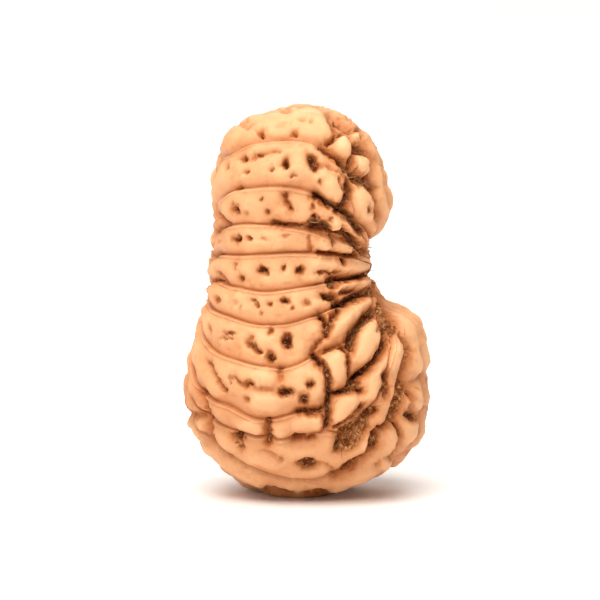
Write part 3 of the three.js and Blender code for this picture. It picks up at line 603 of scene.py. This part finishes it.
side = 1 - ease(0, SIDE_SLOPE, sight_slope)
crown_depth = FRONT_CROWN + (SIDE_CROWN - FRONT_CROWN) * side
seam_relief = -open_band * (SEAM_DEPTH * np.maximum(upper_fall, lower_fall) + crown_depth * crown)
thread_rise = THREAD_RISE * (1 - ease(*WIDE_BAND, band_widths))
thread = open_band * thread_rise * np.exp(-((from_upper - THREAD_PLACE) / THREAD_HALF_WIDTH) ** 2)

front_depths, front_slopes, front_flesh, front_edges = hollows(place)

# The rows of the sides and back, with torn pits, and cracks where their lumps meet
HIDDEN_PIT_SIDE = (0.35, 1.2)
PIT_WARP, PIT_FRAY = 0.45, 0.35
CRACK_SIZE, CRACK_SHARE = 2.4, (-0.35, 0.35)
CRACK_DEPTH = 0.5
CRACK_HOLD = (0.2, 0.8)
LUMP_RISE, LUMP_REACH = 0.15, 1.5
pit_away, _, pit_index = nearest_two(body, hidden_pits)
lump_away, lump_next, _ = nearest_two(body, hidden_lumps)
pit_size = np.array([p[1] for p in hidden_pits])[pit_index]
pit_depth = np.array([p[2] for p in hidden_pits])[pit_index]
ragged_pit = pit_away / pit_size * (1 + PIT_WARP * warp[..., 0] + PIT_FRAY * fray[..., 0])
hidden_edges = (ragged_pit - 1) * pit_size + shallow_offset(pit_depth)
hidden_depths = pit_depth * (1 - ease(*HIDDEN_PIT_SIDE, ragged_pit))
hidden_slopes = PIT_SLOPE * pit_depth * pillow(ragged_pit, PIT_REACH)
cracked = ease(*CRACK_SHARE, noise_at(body, CRACK_SIZE, 8))
hold = ease(*CRACK_HOLD, seam_away)
hidden_creases = CRACK_DEPTH * pillow(lump_next - lump_away, 1.0) * cracked * hold
hidden_rises = LUMP_RISE * (1 - ease(0, LUMP_REACH, lump_away)) - hidden_creases

PIT_ROUGHNESS = 0.16
edges = np.minimum(front_edges + 1 - facing, hidden_edges + 1 - hidden)
dents = facing * front_depths + hidden * hidden_depths
front_rises, domes = swellings(place)
slopes = facing * front_slopes * (1 - LOBE_HOLD * domes) + hidden * hidden_slopes
rises = facing * front_rises + hidden * hidden_rises
pit_grain = PIT_ROUGHNESS * np.clip(dents, 0, 1) * fray[..., 1]
relief = seam_relief + thread + rises - STEEP_SHARE * dents - slopes + pit_grain
relief += FINE_LUMP_RISE * fine_lumps + BROAD_LUMP_RISE * broad_lumps

# Dry flesh left in the deeper pits, in the crevices and round the mouth
FLESHY_PITS = [
    (239, 441, 14, 18, 0.8), (296, 394, 30, 14, 0.5), (355, 381, 11, 18, 0.8),
    (385.5, 383, 10, 30, 0.9), (412, 416, 13, 11, 0.5), (361, 405.5, 8, 8, 0.6),
    (307, 464, 18, 11, 0.5), (333, 282, 12, 13, 0.6), (308, 303, 14, 11, 0.5),
    (287, 341, 9, 13, 0.4), (270, 356, 8, 9, 0.5), (234, 211, 9, 10, 0.4), (314, 215, 7, 12, 0.4),
]
FLESHY_PIT_SIDE = (0.5, 1.2)
HIDDEN_FLESH_SIDE = (0.3, 1.1)
HIDDEN_FLESH = 0.7
FLESHY_SHARE = 0.25
MOUTH_FLESH = (1.4, 3)
FLESH_LUMP_SIZE, FLESH_LUMP_RISE = 0.4, 0.22
for *oval, share in FLESHY_PITS:
    patch = share * (1 - ease(*FLESHY_PIT_SIDE, oval_away(place, *oval)))
    front_flesh = np.maximum(front_flesh, patch)
is_fleshy = np.random.default_rng(5).uniform(size=len(hidden_pits)) < FLESHY_SHARE
hidden_flesh = HIDDEN_FLESH * is_fleshy[pit_index] * (1 - ease(*HIDDEN_FLESH_SIDE, ragged_pit))
around_mouth = 1 - ease(*MOUTH_FLESH, np.linalg.norm(body - mouth_place, axis=-1))
flesh = np.maximum(facing * front_flesh + hidden * hidden_flesh, around_mouth)
relief += FLESH_LUMP_RISE * flesh * noise_at(body, FLESH_LUMP_SIZE, 9)

# The relief fades into the small flat spot that the stone stands on
REST_BLEND = 0.4
relief *= ease(0, REST_BLEND, body[..., 2])
carved = body + body_normals * relief[..., None]
carved[..., 2] = np.maximum(carved[..., 2], 0)
POLE_DIMPLE = 0.6
mouth = carved[0].mean(0) - MOUTH_AXIS * POLE_DIMPLE
far_pole = carved[-1].mean(0) + MOUTH_AXIS * POLE_DIMPLE

middle = (carved.reshape(-1, 3).min(0) + carved.reshape(-1, 3).max(0)) / 2
middle[2] = 0
grid_of = carved[np.clip(rows, 0, ROWS - 1), cols] - middle
poles = np.where(ball[:, 2:] > 0, mouth - middle, far_pole - middle)
placed = np.where(is_pole[:, None], poles, grid_of)
stone.data.vertices.foreach_set("co", (placed * MM).astype(np.float32).ravel())
stone.data.update()
bpy.ops.object.shade_smooth()


def paint(piece, name, values):
    """Stores one number at each vertex of a piece, under a name that its material reads"""
    layer = piece.data.attributes.new(name, "FLOAT", "POINT")
    layer.data.foreach_set("value", np.asarray(values, np.float32).ravel())


def at_vertices(grid):
    """A grid's values in the order of the stone's vertices, with each pole as the ring next to it"""
    return grid[np.clip(rows, 0, ROWS - 1), cols]


# Masks for painted shade on the lower lobe, on slopes into hollows and in the relief's valleys, and for
# a painted highlight on its crests
SLOPE_SHADE_RANGE = (0.08, 0.6)
SLOPE_SHADE_OF_DENTS = 0.4
RELIEF_LIGHT_RANGE = (-0.9, 0.35)
BASE_SHADE_SHARE = 0.35
BASE_LEVELS = (1, 6)
LOWER_LOBE_LEVELS = (6, 19)
paint(stone, "hollow", at_vertices(np.clip(dents, 0, 1)))
paint(stone, "painted_slope_shade", at_vertices(ease(*SLOPE_SHADE_RANGE, slopes + SLOPE_SHADE_OF_DENTS * dents)))
paint(stone, "edge", at_vertices(np.clip(edges, -1, 1)))
level = body[..., 2]
above_base = BASE_SHADE_SHARE + (1 - BASE_SHADE_SHARE) * ease(*BASE_LEVELS, level)
paint(stone, "painted_low_shade", at_vertices(above_base * (1 - ease(*LOWER_LOBE_LEVELS, level))))
paint(stone, "from_upper", at_vertices(from_upper))
paint(stone, "from_lower", at_vertices(from_lower))
paint(stone, "open_band", at_vertices(open_band))
paint(stone, "flesh", at_vertices(flesh))
paint(stone, "painted_relief_light", at_vertices(ease(*RELIEF_LIGHT_RANGE, relief)))


class Wire:
    """An output of a material's node, on which arithmetic adds Math nodes"""

    def __init__(self, socket):
        self.socket = socket

    @classmethod
    def node(cls, tree, kind, inputs=None, output=0, stops=None, **settings):
        made = tree.nodes.new("ShaderNode" + kind)
        for name, value in settings.items():
            setattr(made, name, value)
        if stops:
            elements = made.color_ramp.elements
            elements.remove(elements[-1])
            elements[0].position, elements[0].color = stops[0]
            for position, colour in stops[1:]:
                elements.new(position).color = colour
        for name, value in (inputs or {}).items():
            if isinstance(value, Wire):
                tree.links.new(value.socket, made.inputs[name])
            else:
                made.inputs[name].default_value = value
        return cls(made.outputs[output])

    def maths(self, operation, *values):
        tree = self.socket.id_data
        return Wire.node(tree, "Math", dict(enumerate(values)), operation=operation)

    def __add__(self, other):
        return self.maths("ADD", self, other)

    def __sub__(self, other):
        return self.maths("SUBTRACT", self, other)

    def __rsub__(self, other):
        return self.maths("SUBTRACT", other, self)

    def __mul__(self, other):
        return self.maths("MULTIPLY", self, other)

    __radd__ = __add__
    __rmul__ = __mul__

    def between(self, start, end):
        """0 at one limit and 1 at the other, smoothly"""
        tree = self.socket.id_data
        inputs = {0: self, 1: start, 2: end}
        return Wire.node(tree, "MapRange", inputs, interpolation_type="SMOOTHSTEP")


def new_material(name):
    """A material with its node tree and its Principled shader"""
    material = bpy.data.materials.new(name)
    material.use_nodes = True
    return material, material.node_tree, material.node_tree.nodes["Principled BSDF"].inputs


def attribute(tree, name):
    return Wire.node(tree, "Attribute", output="Fac", attribute_name=name)


def noise_field(tree, size, detail=3.0, rough=0.55):
    """Noise between 0 and 1 on Object coordinates, with grains of about a size in metres"""
    place = Wire.node(tree, "TexCoord", output="Object")
    inputs = {"Vector": place, "Scale": 1 / size, "Detail": detail, "Roughness": rough}
    return Wire.node(tree, "TexNoise", inputs, output="Fac")


def mixed(tree, factor, first, second):
    """Two colours, mixed by a factor"""
    inputs = {0: factor, 6: first, 7: second}
    return Wire.node(tree, "Mix", inputs, output=2, data_type="RGBA")


# The wood's colours: its grain, painted shade and a painted highlight on its crests, its threads, and
# its pits
WOOD_DARK = (0.63, 0.275, 0.118, 1)
WOOD_MIDDLE = (0.725, 0.352, 0.16, 1)
WOOD_PALE = (0.785, 0.42, 0.2, 1)
# The brown of painted shade, over the lower lobe and on slopes into hollows
PAINTED_SHADE_BROWN = (0.46, 0.165, 0.055, 1)
FRECKLE = (0.52, 0.20, 0.07, 1)
PAINTED_HIGHLIGHT = (0.93, 0.56, 0.30, 1)
PAINTED_VALLEY_SHADE = (0.50, 0.17, 0.055, 1)
SEAM_SHADE = (0.42, 0.14, 0.035, 1)
THREAD = (1.0, 0.85, 0.62, 1)
PIT_RIM = (0.50, 0.16, 0.035, 1)
PAINTED_PIT_WALL_SHADE = (0.42, 0.12, 0.022, 1)
PAINTED_PIT_CORE_SHADE = (0.21, 0.042, 0.004, 1)
PAINTED_PIT_FLOOR_SHADE = (0.08, 0.012, 0.001, 1)
PIT_FLECK = (0.78, 0.43, 0.19, 1)
FLESH_DARK = (0.16, 0.028, 0.003, 1)
FLESH_MIDDLE = (0.38, 0.13, 0.03, 1)
FLESH_PALE = (0.80, 0.44, 0.19, 1)

waxy_wood, tree, shader = new_material("waxy_stone_wood")
hollow = attribute(tree, "hollow")
flesh_mask = attribute(tree, "flesh")
painted_relief_light = attribute(tree, "painted_relief_light")
painted_slope_shade = attribute(tree, "painted_slope_shade")
painted_low_shade = attribute(tree, "painted_low_shade")
below_seam = attribute(tree, "from_upper")
above_seam = attribute(tree, "from_lower")
open_seam = attribute(tree, "open_band")
patches = noise_field(tree, 3.2 * MM)
mottles = noise_field(tree, 0.9 * MM)
freckles = noise_field(tree, 1.7 * MM, 5.0, 0.7)
grain = noise_field(tree, 0.35 * MM, 4.0, 0.6)
specks = noise_field(tree, 0.12 * MM, 2.0, 0.5)
flecks = noise_field(tree, 0.3 * MM, 2.0, 0.5)
flesh_grain = noise_field(tree, 0.4 * MM, 4.0, 0.7)
lumps = noise_field(tree, 0.6 * MM, 1.0)

# Noise tears the edges of the pits, which the painted distance gives in millimetres
torn_edge = attribute(tree, "edge") + (grain - 0.5) * 0.3 + (mottles - 0.5) * 0.35
core = 1 - torn_edge.between(-0.16, 0.0)
rim = 1 - torn_edge.between(-0.02, 0.32)
shade_line = (1 - above_seam.between(0.04, 0.3)) * open_seam
thread_mask = (1 - (below_seam - THREAD_PLACE).maths("ABSOLUTE").between(0.06, 0.14)) * open_seam

wood_stops = [(0.30, WOOD_DARK), (0.50, WOOD_MIDDLE), (0.70, WOOD_PALE)]
colour = Wire.node(tree, "ValToRGB", {0: patches * 0.6 + mottles * 0.2 + grain * 0.2}, stops=wood_stops)
# Painted shade over the lower lobe, weaker near the base
colour = mixed(tree, painted_low_shade * 0.4, colour, PAINTED_SHADE_BROWN)
colour = mixed(tree, freckles.between(0.52, 0.66) * 0.5, colour, FRECKLE)
# Painted highlight on the relief's crests and painted shade in its valleys
colour = mixed(tree, painted_relief_light.between(0.6, 1.0) * 0.4, colour, PAINTED_HIGHLIGHT)
colour = mixed(tree, (1 - painted_relief_light).between(0.3, 1.0) * 0.75, colour, PAINTED_VALLEY_SHADE)
# Painted shade on the slopes that lead into pits and crevices
colour = mixed(tree, painted_slope_shade * (0.25 + mottles * 0.7), colour, PAINTED_SHADE_BROWN)
colour = mixed(tree, shade_line * 0.5, colour, SEAM_SHADE)
colour = mixed(tree, thread_mask * (0.7 + grain * 0.35), colour, THREAD)
colour = mixed(tree, rim * (0.3 + mottles * 0.6), colour, PIT_RIM)
# Painted shade in the hollows, darker with depth and darkest in their cores
colour = mixed(tree, hollow.between(0.2, 0.8) * 0.5, colour, PAINTED_PIT_WALL_SHADE)
colour = mixed(tree, core * 0.88, colour, PAINTED_PIT_CORE_SHADE)
colour = mixed(tree, core * hollow.between(0.45, 0.85) * 0.65, colour, PAINTED_PIT_FLOOR_SHADE)
colour = mixed(tree, core * flecks.between(0.54, 0.64) * 0.55, colour, PIT_FLECK)
flesh_stops = [(0.38, FLESH_DARK), (0.52, FLESH_MIDDLE), (0.66, FLESH_PALE)]
flesh_colour = Wire.node(tree, "ValToRGB", {0: flesh_grain}, stops=flesh_stops)
colour = mixed(tree, (flesh_mask * (0.2 + grain * 1.3)).between(0.3, 0.7), colour, flesh_colour)
tree.links.new(colour.socket, shader["Base Color"])

roughness = 0.45 + grain * 0.16 + hollow * 0.25 + flesh_mask * 0.2
tree.links.new(roughness.socket, shader["Roughness"])
pit_height = torn_edge.between(-0.2, 0.12)
sunk = Wire.node(tree, "Bump", {"Height": pit_height, "Strength": 0.7, "Distance": 0.22 * MM})
skin_height = grain * 0.6 + specks * 0.25 + lumps * 3
skin = {"Height": skin_height, "Strength": 0.3, "Distance": 0.05 * MM, "Normal": sunk}
bump = Wire.node(tree, "Bump", skin)
tree.links.new(bump.socket, shader["Normal"])
shader["Specular IOR Level"].default_value = 0.3
shader["Subsurface Weight"].default_value = 0.15
shader["Subsurface Radius"].default_value = (1.0, 0.4, 0.2)
shader["Subsurface Scale"].default_value = 0.4 * MM
stone.data.materials.append(waxy_wood)
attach(stone, "root")
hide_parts("seed_stone")

# Flesh fibres
# Remains of the fruit's dry flesh, which stick in the deeper pits and in the notch as fine
# brown hairs. Each is a bent three-sided strand, rooted in the stone, and all are one piece.
STRANDS = 480
STRAND_POINTS = 5
STRAND_SIDES = 3
STRAND_RADIUS = (0.018, 0.055)
STRAND_LENGTH = (0.35, 1.3)
STRAND_LIFT = (0.05, 0.35)
STRAND_BEND = 0.9
STRAND_TAPER = 0.75
ROOT_DEPTH = 0.1
ROOT_SHARE = 0.15
ARCH = 0.8 * math.pi
LEAST_FLESH = 0.35
BACK_SHARE, FRONT_SLOPE = 0.15, 0.4
strand_draw = np.random.default_rng(41)
carved_normals = grid_normals(carved, mouth, far_pole)
cells = np.cross(np.gradient(carved, axis=0), np.gradient(carved, axis=1))
cell_area = np.linalg.norm(cells, axis=-1)
front_share = BACK_SHARE + ease(0, FRONT_SLOPE, sight_slope)
likely = (np.clip(flesh - LEAST_FLESH, 0, 1) * front_share * cell_area).ravel()
roots = strand_draw.choice(likely.size, STRANDS, p=likely / likely.sum())
root = carved.reshape(-1, 3)[roots]
outward = carved_normals.reshape(-1, 3)[roots]
heading = strand_draw.normal(size=(STRANDS, 3))
heading -= (heading * outward).sum(1)[:, None] * outward
heading /= np.linalg.norm(heading, axis=1)[:, None]
sideways = np.cross(outward, heading)
length = strand_draw.uniform(*STRAND_LENGTH, STRANDS)
lift = strand_draw.uniform(*STRAND_LIFT, STRANDS)
bend = strand_draw.uniform(-STRAND_BEND, STRAND_BEND, STRANDS)
thickness = strand_draw.uniform(*STRAND_RADIUS, STRANDS)
s = np.linspace(0, 1, STRAND_POINTS)[None, :, None]
spine = (root[:, None] - ROOT_DEPTH * outward[:, None]
         + heading[:, None] * (length[:, None, None] * (s - ROOT_SHARE))
         + sideways[:, None] * (length * bend)[:, None, None] * s * s
         + outward[:, None] * (length * lift)[:, None, None] * np.sin(ARCH * s))
spin = np.arange(STRAND_SIDES) * 2 * math.pi / STRAND_SIDES
ring = np.cos(spin)[:, None] * sideways[:, None] + np.sin(spin)[:, None] * outward[:, None]
taper = (1 - STRAND_TAPER * s ** 2)[..., None]
tube = spine[:, :, None] + ring[:, None] * thickness[:, None, None, None] * taper
strand_size = STRAND_POINTS * STRAND_SIDES
faces = []
for i in range(STRAND_POINTS - 1):
    for j in range(STRAND_SIDES):
        k = (j + 1) % STRAND_SIDES
        this_ring = i * STRAND_SIDES
        next_ring = this_ring + STRAND_SIDES
        faces.append((this_ring + j, this_ring + k, next_ring + k, next_ring + j))
faces.append(tuple(reversed(range(STRAND_SIDES))))
faces.append(tuple(range(strand_size - STRAND_SIDES, strand_size)))
all_faces = [tuple(n + i * strand_size for n in face) for i in range(STRANDS) for face in faces]
fibre_mesh = bpy.data.meshes.new("flesh_fibres")
fibre_mesh.from_pydata(((tube.reshape(-1, 3) - middle) * MM).tolist(), [], all_faces)
fibre_mesh.update()
fibres = bpy.data.objects.new("flesh_fibres", fibre_mesh)
bpy.context.scene.collection.objects.link(fibres)
paint(fibres, "tint", np.repeat(strand_draw.uniform(size=STRANDS), strand_size))

dry_fibre, tree, shader = new_material("dry_flesh_fibre")
fibre_stops = [
    (0.0, (0.26, 0.075, 0.014, 1)),
    (0.6, (0.50, 0.21, 0.065, 1)),
    (1.0, (0.92, 0.57, 0.28, 1)),
]
fibre_colour = Wire.node(tree, "ValToRGB", {0: attribute(tree, "tint")}, stops=fibre_stops)
fibre_streaks = noise_field(tree, 0.3 * MM)
fibre_colour = mixed(tree, fibre_streaks * 0.4, fibre_colour, (0.14, 0.04, 0.01, 1))
tree.links.new(fibre_colour.socket, shader["Base Color"])
shader["Roughness"].default_value = 0.75
fibres.data.materials.append(dry_fibre)
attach(fibres, "root")

# Floor and light
# A plain pale floor, a broad soft light overhead, a weaker one from the front left, and one
# behind the stone that keeps the far floor as pale as the near one.
bpy.ops.object.select_all(action="DESELECT")
bpy.ops.mesh.primitive_plane_add(size=4, location=(0, 0, 0))
floor = bpy.context.active_object
floor.name = "pale_floor"
floor_paper, tree, shader = new_material("pale_floor_paper")
floor_colour = mixed(tree, noise_field(tree, 0.4), (0.94, 0.93, 0.92, 1), (0.96, 0.95, 0.94, 1))
tree.links.new(floor_colour.socket, shader["Base Color"])
shader["Roughness"].default_value = 0.6
floor.data.materials.append(floor_paper)

world = bpy.data.worlds.new("soft_room")
bpy.context.scene.world = world
world.use_nodes = True
world.node_tree.nodes["Background"].inputs["Color"].default_value = (1.0, 0.97, 0.93, 1)
world.node_tree.nodes["Background"].inputs["Strength"].default_value = 0.345
bpy.context.scene.view_settings.view_transform = "Standard"


def soft_light(name, place, aim, size, power, colour):
    """A square soft light that faces a point"""
    bpy.ops.object.light_add(type="AREA", location=place)
    light = bpy.context.active_object
    light.name = name
    light.data.shape = "SQUARE"
    light.data.size = size
    light.data.energy = power
    light.data.color = colour
    beam = Vector(aim) - Vector(place)
    light.rotation_euler = beam.to_track_quat("-Z", "Y").to_euler()


stone_middle = (0, 0, HEIGHT / 2 * MM)
soft_light("overhead_light", (-0.06, -0.17, 0.47), stone_middle, 0.54, 4.45, (1.0, 0.98, 0.94))
soft_light("front_light", (-0.30, -0.45, 0.25), stone_middle, 0.30, 0.45, (1.0, 0.98, 0.95))
soft_light("floor_light", (0, 0.65, 0.50), (0, 0.5, 0), 0.50, 1.8, (1.0, 0.99, 0.97))

# Camera
# It stands in front and looks down by 8 degrees, from far enough to keep the stone's sides
# nearly parallel. Its frame spans 600 of the picture's pixels.
FRAME_PIXELS = 600
CAMERA_DISTANCE = 0.6
bpy.ops.object.camera_add()
camera = bpy.context.active_object
aim_across = (FRAME_PIXELS / 2 - PICTURE_MIDDLE) * PIXEL
aim_up = (PICTURE_BASE - FRAME_PIXELS / 2) * PIXEL - BASE_DIP
aim = np.array([aim_across, 0, 0]) + PICTURE_UP * aim_up - middle
camera.location = Vector(aim * MM) - Vector(SIGHT) * CAMERA_DISTANCE
camera.rotation_euler = (math.pi / 2 - PICTURE_TILT, 0, 0)
camera.data.sensor_width = 36
camera.data.lens = camera.data.sensor_width * CAMERA_DISTANCE / (FRAME_PIXELS * PIXEL * MM)
camera.data.clip_start = 0.01
camera.data.clip_end = 20
bpy.context.scene.camera = camera
